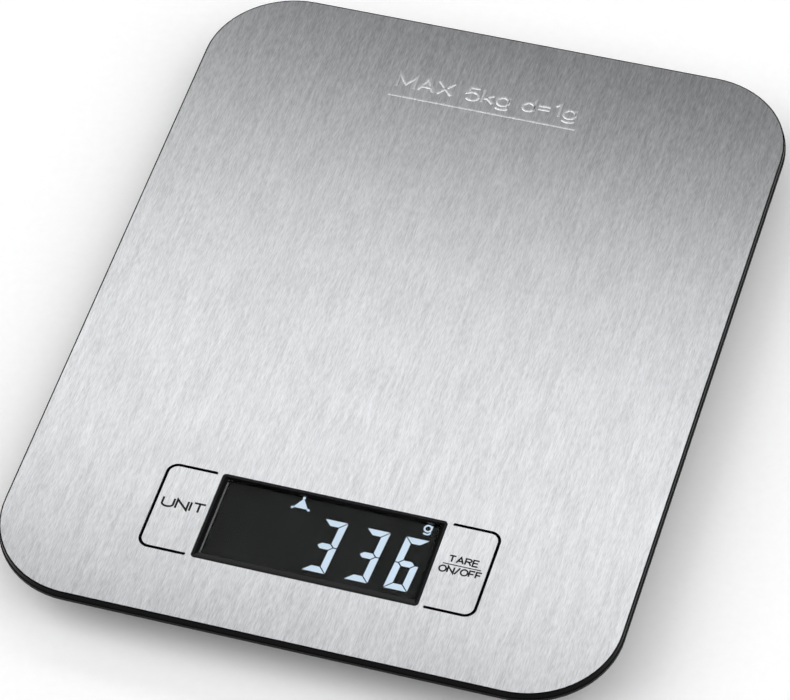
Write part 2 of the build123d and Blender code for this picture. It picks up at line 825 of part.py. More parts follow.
def make_load_cell(corner, x, y):
    """One load cell: a stamped frame whose tongue carries the foot, and the strain gauge on its root."""
    inward = -y
    middle = y * foot_y + inward * (cell_root - cell_tip) / 2
    slot_tip = tongue_tip + tongue_slot
    with BuildPart() as cell:
        with BuildSketch(Plane.XY.offset(cell_height)):
            with Locations((x * foot_x, middle)):
                RectangleRounded(cell_width, cell_tip + cell_root, cell_corner)
            with Locations((x * foot_x, y * foot_y + inward * (tongue_root - slot_tip) / 2)):
                Rectangle(tongue_width + 2 * tongue_slot, tongue_root + slot_tip, mode=Mode.SUBTRACT)
            with Locations((x * foot_x, y * foot_y + inward * (tongue_root - tongue_tip) / 2)):
                Rectangle(tongue_width, tongue_root + tongue_tip)
            with Locations((x * foot_x, y * foot_y)):
                Circle(screw_radius + screw_clearance, mode=Mode.SUBTRACT)
            for across in (-1, 1):
                spot = (x * foot_x + across * cell_screw_spread, y * (foot_y - cell_screw_along))
                with Locations(spot):
                    Circle(screw_radius + screw_clearance, mode=Mode.SUBTRACT)
        extrude(amount=cell_thickness)
    keep(cell.part, f"load_cell_{corner}")
    gauge_y = y * foot_y + inward * gauge_along
    with BuildPart() as gauge:
        with Locations((x * foot_x, gauge_y, cell_top + gauge_height / 2)):
            Box(gauge_width, gauge_length, gauge_height)
        fillet(gauge.edges().filter_by(Axis.Z), gauge_corner)
        chamfer(gauge.edges().group_by(Axis.Z)[-1], edge_break)
    keep(gauge.part, f"strain_gauge_{corner}")


for corner_name, (corner_x, corner_y) in corners.items():
    make_foot(corner_name, corner_x, corner_y)
    make_load_cell(corner_name, corner_x, corner_y)

# ---------------------------------------------------------------- battery compartment

cell_length_to_nub = cell_length - nub_length


def make_battery(name, y, nub_side):
    """One AAA cell lying along X, with its positive nub towards nub_side."""
    flat_end = -nub_side * (compartment_half - contact_thickness - spring_length)
    with BuildPart() as battery:
        with BuildSketch(Plane((flat_end, y, cell_axis_z), x_dir=(0, 1, 0), z_dir=(nub_side, 0, 0))):
            Circle(cell_diameter / 2)
        extrude(amount=cell_length_to_nub)
        fillet(battery.edges(), cell_fillet)
        nub_start = flat_end + nub_side * cell_length_to_nub
        with BuildSketch(Plane((nub_start, y, cell_axis_z), x_dir=(0, 1, 0), z_dir=(nub_side, 0, 0))):
            Circle(nub_radius)
        extrude(amount=nub_length)
    keep(battery.part, name)


def contact_plate(side, y0, y1):
    """The flat sheet of a contact against the compartment's end wall."""
    outer = side * compartment_half
    inner = side * (compartment_half - contact_thickness)
    half = contact_side / 2
    block(min(outer, inner), max(outer, inner), y0, y1, cell_axis_z - half, cell_axis_z + half)


def contact_tail_strip(y):
    """The solder tail that a contact puts through the left end wall."""
    block(
        -wall_half_x - contact_tail,
        -compartment_half,
        y - contact_tail_half,
        y + contact_tail_half,
        cell_axis_z - contact_thickness / 2,
        cell_axis_z + contact_thickness / 2,
    )


def contact_dimple(side, y):
    """The pressed dimple that meets a cell's nub."""
    middle = side * (compartment_half - contact_thickness - dimple_height / 2)
    with Locations((middle, y, cell_axis_z)):
        Cone(dimple_radius, dimple_tip_radius, dimple_height, rotation=(0, -side * 90, 0))


def contact_spring(side, y):
    """The coil that presses on a cell's flat end."""
    start = side * (compartment_half - contact_thickness - spring_wire / 2 + spring_sink)
    height = spring_length - spring_wire + spring_reach
    middle = (start, y, cell_axis_z)
    with BuildLine(mode=Mode.PRIVATE) as coil:
        Helix(height / spring_turns, height, spring_radius, center=middle, direction=(-side, 0, 0))
    with BuildSketch(Plane(coil.line @ 0, z_dir=coil.line % 0), mode=Mode.PRIVATE) as wire:
        Circle(spring_wire / 2)
    sweep(wire.sketch, path=coil.line, is_frenet=True)


lower_y = compartment_y - cells_apart / 2
upper_y = compartment_y + cells_apart / 2
half_plate = contact_side / 2

make_battery("battery_front", lower_y, 1)
make_battery("battery_back", upper_y, -1)

with BuildPart() as battery_contact_negative:
    contact_plate(-1, lower_y - half_plate, lower_y + half_plate)
    contact_tail_strip(lower_y)
    contact_spring(-1, lower_y)
keep(battery_contact_negative.part, "battery_contact_negative")

with BuildPart() as battery_contact_positive:
    contact_plate(-1, upper_y - half_plate, upper_y + half_plate)
    contact_tail_strip(upper_y)
    contact_dimple(-1, upper_y)
keep(battery_contact_positive.part, "battery_contact_positive")

with BuildPart() as battery_contact_bridge:
    contact_plate(1, lower_y - half_plate, upper_y + half_plate)
    contact_dimple(1, lower_y)
    contact_spring(1, upper_y)
keep(battery_contact_bridge.part, "battery_contact_bridge")

with BuildPart() as battery_cover:
    cover_half = compartment_half - cover_gap
    cover_top = floor_bottom + cover_thickness
    cover_front = recess_front + cover_gap
    block(-cover_half, cover_half, cover_front, hinge_y, floor_bottom, cover_top)
    rod(-cover_half, cover_half, hinge_y, hinge_z, hinge_barrel_radius)
    pin_half = compartment_half + hinge_pin_length
    rod(-pin_half, pin_half, hinge_y, hinge_z, hinge_pin_radius)
    # slots that free the latch finger, its nib and the grip grooves on it
    slot_x = (latch_width + latch_slot) / 2
    with Locations((-slot_x, cover_front, floor_bottom), (slot_x, cover_front, floor_bottom)):
        Box(latch_slot, 2 * latch_length, 2 * cover_top, mode=Mode.SUBTRACT)
    block(
        -latch_width / 4,
        latch_width / 4,
        cover_front - latch_nib,
        cover_front,
        cover_top - latch_nib_height,
        cover_top,
    )
    grip_rows = [cover_front + grip_from_edge + grip_pitch * step for step in range(grip_count)]
    with Locations(*[(0, row, floor_bottom) for row in grip_rows]):
        Box(latch_width * grip_share, grip_width, 2 * grip_depth, mode=Mode.SUBTRACT)
    # ribs that steady the cells
    cradle_x = compartment_half * cradle_share
    with Locations((-cradle_x, compartment_y, cover_top), (cradle_x, compartment_y, cover_top)):
        Box(cradle_rib, cells_apart, 2 * (battery_lift - cradle_gap))
keep(battery_cover.part, "battery_cover")

# ---------------------------------------------------------------- leads


lead_z = floor_top + lead_radius + lead_floor_gap
battery_lead_z = floor_top + battery_lead_radius + lead_floor_gap
header_back = header_y + header_depth
header_z = board_bottom - header_height / 2
gauge_z = cell_top + gauge_height / 2


def bend_radii(points):
    """The bend radius at each inner point, nearly as large as the shorter run beside it allows."""
    radii = []
    for before, here, after in zip(points, points[1:], points[2:]):
        arriving = Vector(*here) - Vector(*before)
        leaving = Vector(*after) - Vector(*here)
        half_turn = radians(arriving.get_angle(leaving)) / 2
        radii.append(bend_share * min(arriving.length, leaving.length) / tan(half_turn))
    return radii


def make_lead(name, points, radius):
    """An insulated lead of round section along straight runs joined by arcs."""
    with BuildPart() as lead:
        with BuildLine() as route:
            FilletPolyline(*points, radius=bend_radii(points))
        with BuildSketch(Plane(route.line @ 0, z_dir=route.line % 0)):
            Circle(radius)
        sweep()
    drawn = sum(edge.length for edge in route.edges()) * pi * radius**2
    share = round(lead.part.volume / drawn, 4)
    print(name, "least bend", round(min(bend_radii(points)), 1), "volume share", share)
    keep(lead.part, name)


for corner_name, (corner_x, corner_y) in corners.items():
    gauge_edge = corner_y * (foot_y - gauge_along - gauge_length / 2)
    cell_end = corner_y * (foot_y - cell_root - lead_overrun)
    lead_start = [(corner_x * foot_x, gauge_edge, gauge_z), (corner_x * foot_x, cell_end, gauge_z)]
    if corner_y < 0:
        header_x = corner_x * front_header_x
        lead_route = [(corner_x * foot_x, front_turn_y[0], lead_z), (header_x, front_turn_y[1], lead_z)]
    else:
        header_x = corner_x * rear_header_x
        lane_x = corner_x * lead_lane
        lead_route = [(lane_x, rear_lane_start, lead_z), (lane_x, rear_lane_end, lead_z)]
        lead_route += [(header_x, rear_turn_y, lead_z)]
    lead_end = [(header_x, lead_rise_y, header_z), (header_x, header_back, header_z)]
    make_lead(f"load_cell_lead_{corner_name}", lead_start + lead_route + lead_end, lead_radius)

tail_x = -wall_half_x - contact_tail


def battery_route(y, bend_x, header_x, cross_y):
    """From a contact's tail round the compartment's end to the header."""
    return [
        (tail_x, y, cell_axis_z),
        (tail_x - bend_x, y, cell_axis_z),
        (tail_x - bend_x, battery_turn_y, battery_lead_z),
        (header_x, cross_y, battery_lead_z),
        (header_x, lead_rise_y, header_z),
        (header_x, header_back, header_z),
    ]


negative_route = battery_route(lower_y, battery_bend_x[0], battery_header_x, battery_cross_y[0])
positive_route = battery_route(upper_y, battery_bend_x[1], -battery_header_x, battery_cross_y[1])
make_lead("battery_lead_negative", negative_route, battery_lead_radius)
make_lead("battery_lead_positive", positive_route, battery_lead_radius)
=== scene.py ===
"""Visual model of the kitchen scale: the CAD frame with finishes, key legends, display and capacity mark."""

import math

import bmesh
import bpy
from mathutils import Euler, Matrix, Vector


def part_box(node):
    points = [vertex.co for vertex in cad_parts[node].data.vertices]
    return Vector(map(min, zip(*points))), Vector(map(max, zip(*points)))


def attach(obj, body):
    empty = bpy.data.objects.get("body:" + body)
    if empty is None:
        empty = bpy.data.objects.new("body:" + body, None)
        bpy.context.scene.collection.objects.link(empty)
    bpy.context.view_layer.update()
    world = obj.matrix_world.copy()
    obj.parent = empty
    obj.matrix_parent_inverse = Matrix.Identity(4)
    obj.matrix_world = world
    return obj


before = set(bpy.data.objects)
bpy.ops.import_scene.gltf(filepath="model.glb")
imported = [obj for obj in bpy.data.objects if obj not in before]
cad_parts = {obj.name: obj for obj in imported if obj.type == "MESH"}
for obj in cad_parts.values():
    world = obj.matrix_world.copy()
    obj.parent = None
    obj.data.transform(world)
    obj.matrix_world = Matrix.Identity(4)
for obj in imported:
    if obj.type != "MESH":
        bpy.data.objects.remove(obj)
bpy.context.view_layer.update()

MM = 0.001

# ---------------------------------------------------------------- places, from the frame


def middle(node_name, axis):
    """The middle of a node's box along one axis."""
    low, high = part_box(node_name)
    return (low[axis] + high[axis]) / 2


X_AXIS, Y_AXIS = 0, 1
STEEL_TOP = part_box("steel_platform")[1].z
LCD_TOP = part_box("lcd_panel")[1].z
WINDOW_Y = middle("display_bezel", Y_AXIS)
UNIT_X = middle("unit_key", X_AXIS)
TARE_X = middle("tare_key", X_AXIS)
cell_low, cell_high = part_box("battery_front")
CELL_HALF = min(-cell_low.x, cell_high.x)  # from the middle to the end without the button

# ---------------------------------------------------------------- mesh helpers

MITRE_LIMIT = 0.35  # least cosine that widens a stroke at a corner
SAME_POINT = 1e-6  # in cells of a character
SHORTEST_STEP = 0.02  # of the stroke's width: nearer points are dropped


def new_object(name, mesh_builder, material):
    """One object from a bmesh, with its material."""
    mesh = bpy.data.meshes.new(name)
    builder = bmesh.new()
    mesh_builder(builder)
    bmesh.ops.recalc_face_normals(builder, faces=builder.faces)
    builder.to_mesh(mesh)
    builder.free()
    made = bpy.data.objects.new(name, mesh)
    bpy.context.scene.collection.objects.link(made)
    mesh.materials.append(material)
    return made


def new_piece(name, body, mesh_builder, material):
    """A piece of the scale, riding on a CAD body."""
    piece = new_object(name, mesh_builder, material)
    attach(piece, body)


def add_prism(builder, outline, low, high):
    """A closed prism over an outline of (x, y) points."""
    bottom = [builder.verts.new((x, y, low)) for x, y in outline]
    top = [builder.verts.new((x, y, high)) for x, y in outline]
    builder.faces.new(list(reversed(bottom)))
    builder.faces.new(top)
    for i in range(len(outline)):
        j = (i + 1) % len(outline)
        builder.faces.new((bottom[i], bottom[j], top[j], top[i]))


def sideways(points, i, closed):
    """The mitred sideways direction of a stroke at point i."""
    count = len(points)
    before = points[i - 1] if i > 0 or closed else None
    after = points[(i + 1) % count] if i < count - 1 or closed else None
    here = points[i]
    arriving = (here - before).normalized() if before is not None else (after - here).normalized()
    leaving = (after - here).normalized() if after is not None else arriving
    mean = (arriving + leaving).normalized()
    normal = Vector((-mean.y, mean.x))
    return normal / max(MITRE_LIMIT, mean.dot(arriving))


def add_stroke(builder, points, width, levels, closed=False):
    """A ribbon along points. levels has each height, lowest first, with the share of the width there."""
    rings = []
    for i, here in enumerate(points):
        side = sideways(points, i, closed) * width / 2
        left = [builder.verts.new((*(here + side * share), z)) for z, share in levels]
        right = [builder.verts.new((*(here - side * share), z)) for z, share in reversed(levels)]
        rings.append(left + right)
    count = len(rings)
    spans = count if closed else count - 1
    for i in range(spans):
        a, b = rings[i], rings[(i + 1) % count]
        for k in range(len(a)):
            m = (k + 1) % len(a)
            builder.faces.new((a[k], a[m], b[m], b[k]))
    if not closed:
        builder.faces.new(rings[0])
        builder.faces.new(list(reversed(rings[-1])))


def arc(cx, cy, rx, ry, start, end, steps=10):
    """Points along an elliptical arc, in degrees."""
    angles = [math.radians(start + (end - start) * k / steps) for k in range(steps + 1)]
    return [(cx + rx * math.cos(a), cy + ry * math.sin(a)) for a in angles]


# Plain single-stroke characters on a cell 1 high. Each has its width and its strokes.
GLYPHS = {
    "U": (0.62, [[(0, 1), (0, 0.3)] + arc(0.31, 0.3, 0.31, 0.3, 180, 360) + [(0.62, 0.3), (0.62, 1)]]),
    "N": (0.62, [[(0, 0), (0, 1), (0.62, 0), (0.62, 1)]]),
    "I": (0.0, [[(0, 0), (0, 1)]]),
    "T": (0.62, [[(0, 1), (0.62, 1)], [(0.31, 1), (0.31, 0)]]),
    "A": (0.68, [[(0, 0), (0.34, 1), (0.68, 0)], [(0.12, 0.34), (0.56, 0.34)]]),
    "R": (
        0.58,
        [
            [(0, 0), (0, 1), (0.32, 1)] + arc(0.32, 0.76, 0.24, 0.24, 90, -90) + [(0, 0.52)],
            [(0.32, 0.52), (0.58, 0)],
        ],
    ),
    "E": (0.54, [[(0.54, 1), (0, 1), (0, 0), (0.54, 0)], [(0, 0.52), (0.46, 0.52)]]),
    "O": (0.7, [arc(0.35, 0.5, 0.35, 0.5, 90, 450, 24)]),
    "F": (0.52, [[(0.52, 1), (0, 1), (0, 0)], [(0, 0.5), (0.44, 0.5)]]),
    "/": (0.4, [[(0, -0.08), (0.4, 1.08)]]),
    "M": (0.76, [[(0, 0), (0, 1), (0.38, 0.3), (0.76, 1), (0.76, 0)]]),
    "X": (0.64, [[(0, 0), (0.64, 1)], [(0, 1), (0.64, 0)]]),
    "5": (0.56, [[(0.5, 1), (0.08, 1), (0.03, 0.56)] + arc(0.26, 0.33, 0.28, 0.33, 115, -140)]),
    "1": (0.3, [[(0, 0.78), (0.26, 1), (0.26, 0)]]),
    "k": (0.48, [[(0, 0), (0, 1)], [(0.44, 0.66), (0.02, 0.28)], [(0.16, 0.42), (0.48, 0)]]),
    "g": (
        0.5,
        [
            arc(0.25, 0.35, 0.25, 0.33, 0, 360, 20),
            [(0.5, 0.68), (0.5, -0.1)] + arc(0.25, -0.08, 0.25, 0.2, 0, -150, 8),
        ],
    ),
    "d": (0.5, [arc(0.25, 0.33, 0.25, 0.33, 0, 360, 20), [(0.5, 1), (0.5, 0)]]),
    "=": (0.5, [[(0, 0.62), (0.5, 0.62)], [(0, 0.34), (0.5, 0.34)]]),
    " ": (0.3, []),
}


def add_text(builder, text, centre_x, base_y, height, stretch, stroke, gap, levels):
    """Characters side by side, centred on centre_x, standing on base_y, drawn wider by stretch."""
    across = height * stretch
    x = centre_x - (sum(GLYPHS[c][0] for c in text) * across + gap * (len(text) - 1)) / 2
    for character in text:
        width, strokes = GLYPHS[character]
        for points in strokes:
            closed = all(abs(first - last) < SAME_POINT for first, last in zip(points[0], points[-1]))
            line = [Vector((x + px * across, base_y + py * height)) for px, py in points]
            if closed:
                line = line[:-1]
            shortest = stroke * SHORTEST_STEP
            line = [p for i, p in enumerate(line) if i == 0 or (p - line[i - 1]).length > shortest]
            add_stroke(builder, line, stroke, levels, closed)
        x += width * across + gap


# ---------------------------------------------------------------- material helpers

FINE_SCRATCHES = (3400, 400, 3400)  # noise cells per metre: long along Y
BROAD_STREAKS = (900, 75, 900)
STREAK_SHARE = 0.5
SCRATCH_DARK, SCRATCH_LIGHT = 0.74, 1.17
SCRATCH_DEPTH = 0.01 * MM
FLOW = (60, 60, 60)  # noise cells per metre in moulded plastic
FLOW_DARK, FLOW_LIGHT, FLOW_LIFT = 0.92, 1.12, 0.002
MOULD_GRAIN_DEPTH = 0.1 * MM
WEAR_DARK = 0.8
WEAR_DEPTH = 0.03 * MM
SLEEVE_EDGE = 0.05 * MM
BARE_END = 1.4 * MM
BARE_CAN = (0.7, 0.69, 0.66, 1)
UNEVEN_LIGHT = (70, 70, 70)
DIMMEST = 0.93
LENS_HAZE = (9, 9, 9)
PAPER_FIBRE = (400, 400, 400)


def new_material(name):
    """A node material's tree, its shader and a coordinate node, ready to link."""
    material = bpy.data.materials.new(name)
    material.use_nodes = True
    tree = material.node_tree
    shader = tree.nodes["Principled BSDF"]
    coordinates = tree.nodes.new("ShaderNodeTexCoord")
    return material, tree, shader, coordinates


def noise(tree, coordinates, scale, detail=3.0, roughness=0.5):
    """Noise in object coordinates (metres), with a scale per axis."""
    mapping = tree.nodes.new("ShaderNodeMapping")
    mapping.inputs["Scale"].default_value = scale
    tree.links.new(coordinates.outputs["Object"], mapping.inputs["Vector"])
    texture = tree.nodes.new("ShaderNodeTexNoise")
    texture.inputs["Scale"].default_value = 1.0
    texture.inputs["Detail"].default_value = detail
    texture.inputs["Roughness"].default_value = roughness
    tree.links.new(mapping.outputs["Vector"], texture.inputs["Vector"])
    return texture.outputs["Fac"]


def remap(tree, value, low, high, from_low=0.3, from_high=0.7):
    """A value stretched to a new range."""
    node = tree.nodes.new("ShaderNodeMapRange")
    node.inputs["From Min"].default_value = from_low
    node.inputs["From Max"].default_value = from_high
    node.inputs["To Min"].default_value = low
    node.inputs["To Max"].default_value = high
    tree.links.new(value, node.inputs["Value"])
    return node.outputs["Result"]


def ramp(tree, value, low_colour, high_colour, low=0.3, high=0.7):
    """A colour that runs between two with a value."""
    node = tree.nodes.new("ShaderNodeValToRGB")
    node.color_ramp.elements[0].position = low
    node.color_ramp.elements[0].color = (*low_colour, 1)
    node.color_ramp.elements[1].position = high
    node.color_ramp.elements[1].color = (*high_colour, 1)
    tree.links.new(value, node.inputs["Fac"])
    return node.outputs["Color"]


def bump(tree, shader, height, strength, distance):
    """A bump of a given depth in metres."""
    node = tree.nodes.new("ShaderNodeBump")
    node.inputs["Strength"].default_value = strength
    node.inputs["Distance"].default_value = distance
    tree.links.new(height, node.inputs["Height"])
    tree.links.new(node.outputs["Normal"], shader.inputs["Normal"])


def brushed_steel(name, tint=(0.655, 0.665, 0.68), anisotropy=0.95, low=0.31, high=0.37, relief=0.06):
    """Steel brushed along Y: short fine scratches and longer streaks in colour, gloss and height."""
    material, tree, shader, coordinates = new_material(name)
    fine = noise(tree, coordinates, FINE_SCRATCHES, detail=2.0, roughness=0.55)
    broad = noise(tree, coordinates, BROAD_STREAKS, detail=2.0)
    mix = tree.nodes.new("ShaderNodeMath")
    mix.operation = "MULTIPLY_ADD"
    mix.inputs[1].default_value = STREAK_SHARE
    tree.links.new(broad, mix.inputs[0])
    tree.links.new(fine, mix.inputs[2])
    dark = tuple(c * SCRATCH_DARK for c in tint)
    light = tuple(c * SCRATCH_LIGHT for c in tint)
    tree.links.new(ramp(tree, mix.outputs[0], dark, light, low=0.5, high=1.0), shader.inputs["Base Color"])
    tree.links.new(remap(tree, fine, low, high), shader.inputs["Roughness"])
    shader.inputs["Metallic"].default_value = 1.0
    shader.inputs["Anisotropic"].default_value = anisotropy
    tangent = tree.nodes.new("ShaderNodeCombineXYZ")
    tangent.inputs["X"].default_value = 1.0
    tree.links.new(tangent.outputs["Vector"], shader.inputs["Tangent"])
    bump(tree, shader, fine, relief, SCRATCH_DEPTH)
    return material


def plastic(name, colour, roughness, grain=0.0, grain_scale=900, specular=0.5):
    """Moulded plastic: faint flow variation in colour and gloss, and a fine grain if it has one."""
    material, tree, shader, coordinates = new_material(name)
    flow = noise(tree, coordinates, FLOW)
    dark = tuple(c * FLOW_DARK for c in colour)
    light = tuple(min(1.0, c * FLOW_LIGHT + FLOW_LIFT) for c in colour)
    tree.links.new(ramp(tree, flow, dark, light), shader.inputs["Base Color"])
    tree.links.new(remap(tree, flow, roughness * 0.85, roughness * 1.15), shader.inputs["Roughness"])
    shader.inputs["Specular IOR Level"].default_value = specular
    if grain:
        fine = noise(tree, coordinates, (grain_scale,) * 3, detail=2.0)
        bump(tree, shader, fine, grain, MOULD_GRAIN_DEPTH)
    return material


def metal(name, colour, roughness, streak=(900, 900, 900)):
    """Plain metal with a fine worn variation."""
    material, tree, shader, coordinates = new_material(name)
    wear = noise(tree, coordinates, streak, detail=4.0)
    worn = tuple(c * WEAR_DARK for c in colour)
    tree.links.new(ramp(tree, wear, worn, colour), shader.inputs["Base Color"])
    tree.links.new(remap(tree, wear, roughness * 0.8, roughness * 1.3), shader.inputs["Roughness"])
    shader.inputs["Metallic"].default_value = 1.0
    bump(tree, shader, wear, 0.1, WEAR_DEPTH)
    return material


def glowing(name, colour, strength):
    """A lit segment with a faint unevenness of its backlight."""
    material, tree, shader, coordinates = new_material(name)
    uneven = noise(tree, coordinates, UNEVEN_LIGHT, detail=2.0)
    dim = tuple(c * DIMMEST for c in colour)
    lit = ramp(tree, uneven, dim, colour)
    shader.inputs["Base Color"].default_value = (0.02, 0.02, 0.02, 1)
    shader.inputs["Roughness"].default_value = 0.5
    tree.links.new(lit, shader.inputs["Emission Color"])
    shader.inputs["Emission Strength"].default_value = strength
    return material


def colour_socket(sockets, name):
    """The colour socket of a Mix node, whose socket names repeat for each kind of data."""
    return next(s for s in sockets if s.name == name and s.type == "RGBA")


def sleeved_cell(name, colour, bare_from):
    """A battery's plastic sleeve, with bare plated can past bare_from on either side of the middle."""
    material, tree, shader, coordinates = new_material(name)
    split = tree.nodes.new("ShaderNodeSeparateXYZ")
    tree.links.new(coordinates.outputs["Object"], split.inputs["Vector"])
    along = tree.nodes.new("ShaderNodeMath")
    along.operation = "ABSOLUTE"
    tree.links.new(split.outputs["X"], along.inputs[0])
    bare = remap(tree, along.outputs[0], 0.0, 1.0, bare_from, bare_from + SLEEVE_EDGE)
    flow = noise(tree, coordinates, FLOW)
    dark = tuple(c * FLOW_DARK for c in colour)
    light = tuple(c * FLOW_LIGHT for c in colour)
    mix = tree.nodes.new("ShaderNodeMix")
    mix.data_type = "RGBA"
    colour_socket(mix.inputs, "B").default_value = BARE_CAN
    tree.links.new(ramp(tree, flow, dark, light), colour_socket(mix.inputs, "A"))
    tree.links.new(bare, mix.inputs["Factor"])
    tree.links.new(colour_socket(mix.outputs, "Result"), shader.inputs["Base Color"])
    tree.links.new(bare, shader.inputs["Metallic"])
    tree.links.new(remap(tree, flow, 0.22, 0.32), shader.inputs["Roughness"])
    return material


def clear_lens(name):
    """Clear coated acrylic with a very faint unevenness of tint."""
    material, tree, shader, coordinates = new_material(name)
    haze = noise(tree, coordinates, LENS_HAZE, detail=1.0)
    tint = ramp(tree, haze, (0.96, 0.97, 0.97), (0.98, 0.985, 0.985))
    tree.links.new(tint, shader.inputs["Base Color"])
    shader.inputs["Roughness"].default_value = 0.0
    shader.inputs["IOR"].default_value = 1.1
    shader.inputs["Transmission Weight"].default_value = 1.0
    return material


def sweep_paper(name):
    """Matt white background paper with a very fine fibre."""
    material, tree, shader, coordinates = new_material(name)
    fibre = noise(tree, coordinates, PAPER_FIBRE, detail=4.0, roughness=0.6)
    tree.links.new(ramp(tree, fibre, (0.93, 0.93, 0.93), (0.95, 0.95, 0.95)), shader.inputs["Base Color"])
    tree.links.new(remap(tree, fibre, 0.75, 0.85), shader.inputs["Roughness"])
    shader.inputs["Specular IOR Level"].default_value = 0.1
    return material


def paint(node_name, material):
    """Gives a CAD node its finished material."""
    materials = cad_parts[node_name].data.materials
    materials.clear()
    materials.append(material)


# ---------------------------------------------------------------- materials

steel = brushed_steel("brushed_steel_sheet")
pressed_steel = brushed_steel("pressed_steel", anisotropy=0.5, low=0.3, high=0.36, relief=0.01)
housing_gloss = plastic("housing_gloss_black", (0.001, 0.001, 0.0012), roughness=0.2, specular=0.035)
housing_under = plastic(
    "housing_textured_black",
    (0.004, 0.004, 0.0044),
    roughness=0.4,
    grain=0.4,
    grain_scale=2200,
    specular=0.08,
)
bezel_gloss = plastic("bezel_gloss_black", (0.002, 0.002, 0.0023), roughness=0.15, specular=0.12)
lens_clear = clear_lens("lens_clear_acrylic")
lcd_dark = plastic("lcd_dark_glass", (0.0075, 0.0085, 0.008), roughness=0.4, specular=0.03)
digit_lit = glowing("digit_lit", (0.6, 0.735, 0.87), strength=1.0)
digit_ghost = plastic("digit_ghost", (0.0105, 0.012, 0.0115), roughness=0.4, specular=0.03)
print_ink = plastic("print_ink", (0.006, 0.006, 0.0065), roughness=0.6, specular=0.2)
guide_white = plastic("light_guide", (0.8, 0.85, 0.9), roughness=0.35)
led_body = plastic("led_body", (0.85, 0.85, 0.7), roughness=0.3)
zebra = plastic("zebra_rubber", (0.6, 0.3, 0.34), roughness=0.6, grain=0.3)
natural = plastic("natural_moulding", (0.75, 0.75, 0.72), roughness=0.45)
solder_mask = plastic("solder_mask", (0.015, 0.12, 0.045), roughness=0.3, grain=0.3, grain_scale=1400)
epoxy = plastic("chip_epoxy", (0.012, 0.012, 0.012), roughness=0.25)
zinc = metal("zinc_plate", (0.62, 0.63, 0.66), roughness=0.28)
alloy = metal("load_cell_alloy", (0.55, 0.56, 0.57), roughness=0.35, streak=(300, 2500, 300))
potting = plastic("gauge_potting", (0.8, 0.8, 0.76), roughness=0.5, grain=0.3, grain_scale=700)
foot_black = plastic("foot_moulding", (0.02, 0.02, 0.022), roughness=0.45, grain=0.4, grain_scale=1800)
rubber = plastic("pad_rubber", (0.015, 0.015, 0.015), roughness=0.75, grain=0.6, grain_scale=2600)
sleeve = sleeved_cell("battery_sleeve", (0.05, 0.2, 0.09), bare_from=CELL_HALF - BARE_END)
nickel = metal("contact_nickel", (0.66, 0.64, 0.6), roughness=0.25)
foam = plastic("adhesive_foam", (0.8, 0.8, 0.77), roughness=0.8, grain=0.6, grain_scale=1500)
lead_finishes = {
    "load_cell_lead": plastic("lead_white", (0.75, 0.75, 0.74), roughness=0.45, grain=0.2),
    "battery_lead_positive": plastic("lead_red", (0.45, 0.015, 0.012), roughness=0.45, grain=0.2),
    "battery_lead_negative": plastic("lead_black", (0.015, 0.015, 0.016), roughness=0.45, grain=0.2),
}

finish_by_prefix = {
    "steel_platform": steel,
    "unit_key_post": natural,
    "tare_key_post": natural,
    "unit_key": steel,
    "tare_key": steel,
    "unit_switch_housing": epoxy,
    "tare_switch_housing": epoxy,
    "unit_switch_plunger": natural,
    "tare_switch_plunger": natural,
    "platform_tape": foam,
    "top_carrier": housing_gloss,
    "base_shell": housing_under,
    "battery_cover": housing_under,
    "display_bezel": bezel_gloss,
    "display_lens": lens_clear,
    "lcd_panel": lcd_dark,
    "lcd_backlight": guide_white,
    "backlight_led": led_body,
    "zebra_strip": zebra,
    "lcd_holder": natural,
    "lead_header": natural,
    "main_board": solder_mask,
    "controller_chip": epoxy,
    "board_screws": zinc,
    "housing_screws": zinc,
    "load_cell_screws": zinc,
    "load_cell_lead": lead_finishes["load_cell_lead"],
    "load_cell": alloy,
    "strain_gauge": potting,
    "foot_pad": rubber,
    "foot_screw": zinc,
    "foot": foot_black,
    "battery_contact": nickel,
    "battery_lead_positive": lead_finishes["battery_lead_positive"],
    "battery_lead_negative": lead_finishes["battery_lead_negative"],
    "battery": sleeve,
}

for node_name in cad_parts:
    prefix = max((p for p in finish_by_prefix if node_name.startswith(p)), key=len)
    paint(node_name, finish_by_prefix[prefix])

# ---------------------------------------------------------------- key legends

INK_LEVELS = [(STEEL_TOP + 0.005 * MM, 1.0), (STEEL_TOP + 0.02 * MM, 1.0)]
TARE_MIDDLE = TARE_X + 0.35 * MM
TARE_RULE_HALF = 5.5 * MM
TARE_RULE_Y = WINDOW_Y + 1.1 * MM
TARE_RULE_STROKE = 0.3 * MM
UNIT_TEXT = {
    "centre_x": UNIT_X + 0.2 * MM,
    "base_y": WINDOW_Y - 0.1 * MM,
    "height": 3.0 * MM,
    "stretch": 1.75,
    "stroke": 0.62 * MM,
    "gap": 0.85 * MM,
}
TARE_TEXT = {
    "centre_x": TARE_MIDDLE,
    "base_y": WINDOW_Y + 2.0 * MM,
    "height": 2.05 * MM,
    "stretch": 1.4,
    "stroke": 0.48 * MM,
    "gap": 0.5 * MM,
}
ON_OFF_TEXT = {**TARE_TEXT, "base_y": WINDOW_Y - 1.7 * MM, "height": 2.0 * MM, "gap": 0.46 * MM}


def unit_legend(builder):
    add_text(builder, "UNIT", levels=INK_LEVELS, **UNIT_TEXT)


def tare_legend(builder):
    add_text(builder, "TARE", levels=INK_LEVELS, **TARE_TEXT)
    add_text(builder, "ON/OFF", levels=INK_LEVELS, **ON_OFF_TEXT)
    rule = [Vector((TARE_MIDDLE + side * TARE_RULE_HALF, TARE_RULE_Y)) for side in (-1, 1)]
    add_stroke(builder, rule, TARE_RULE_STROKE, INK_LEVELS)


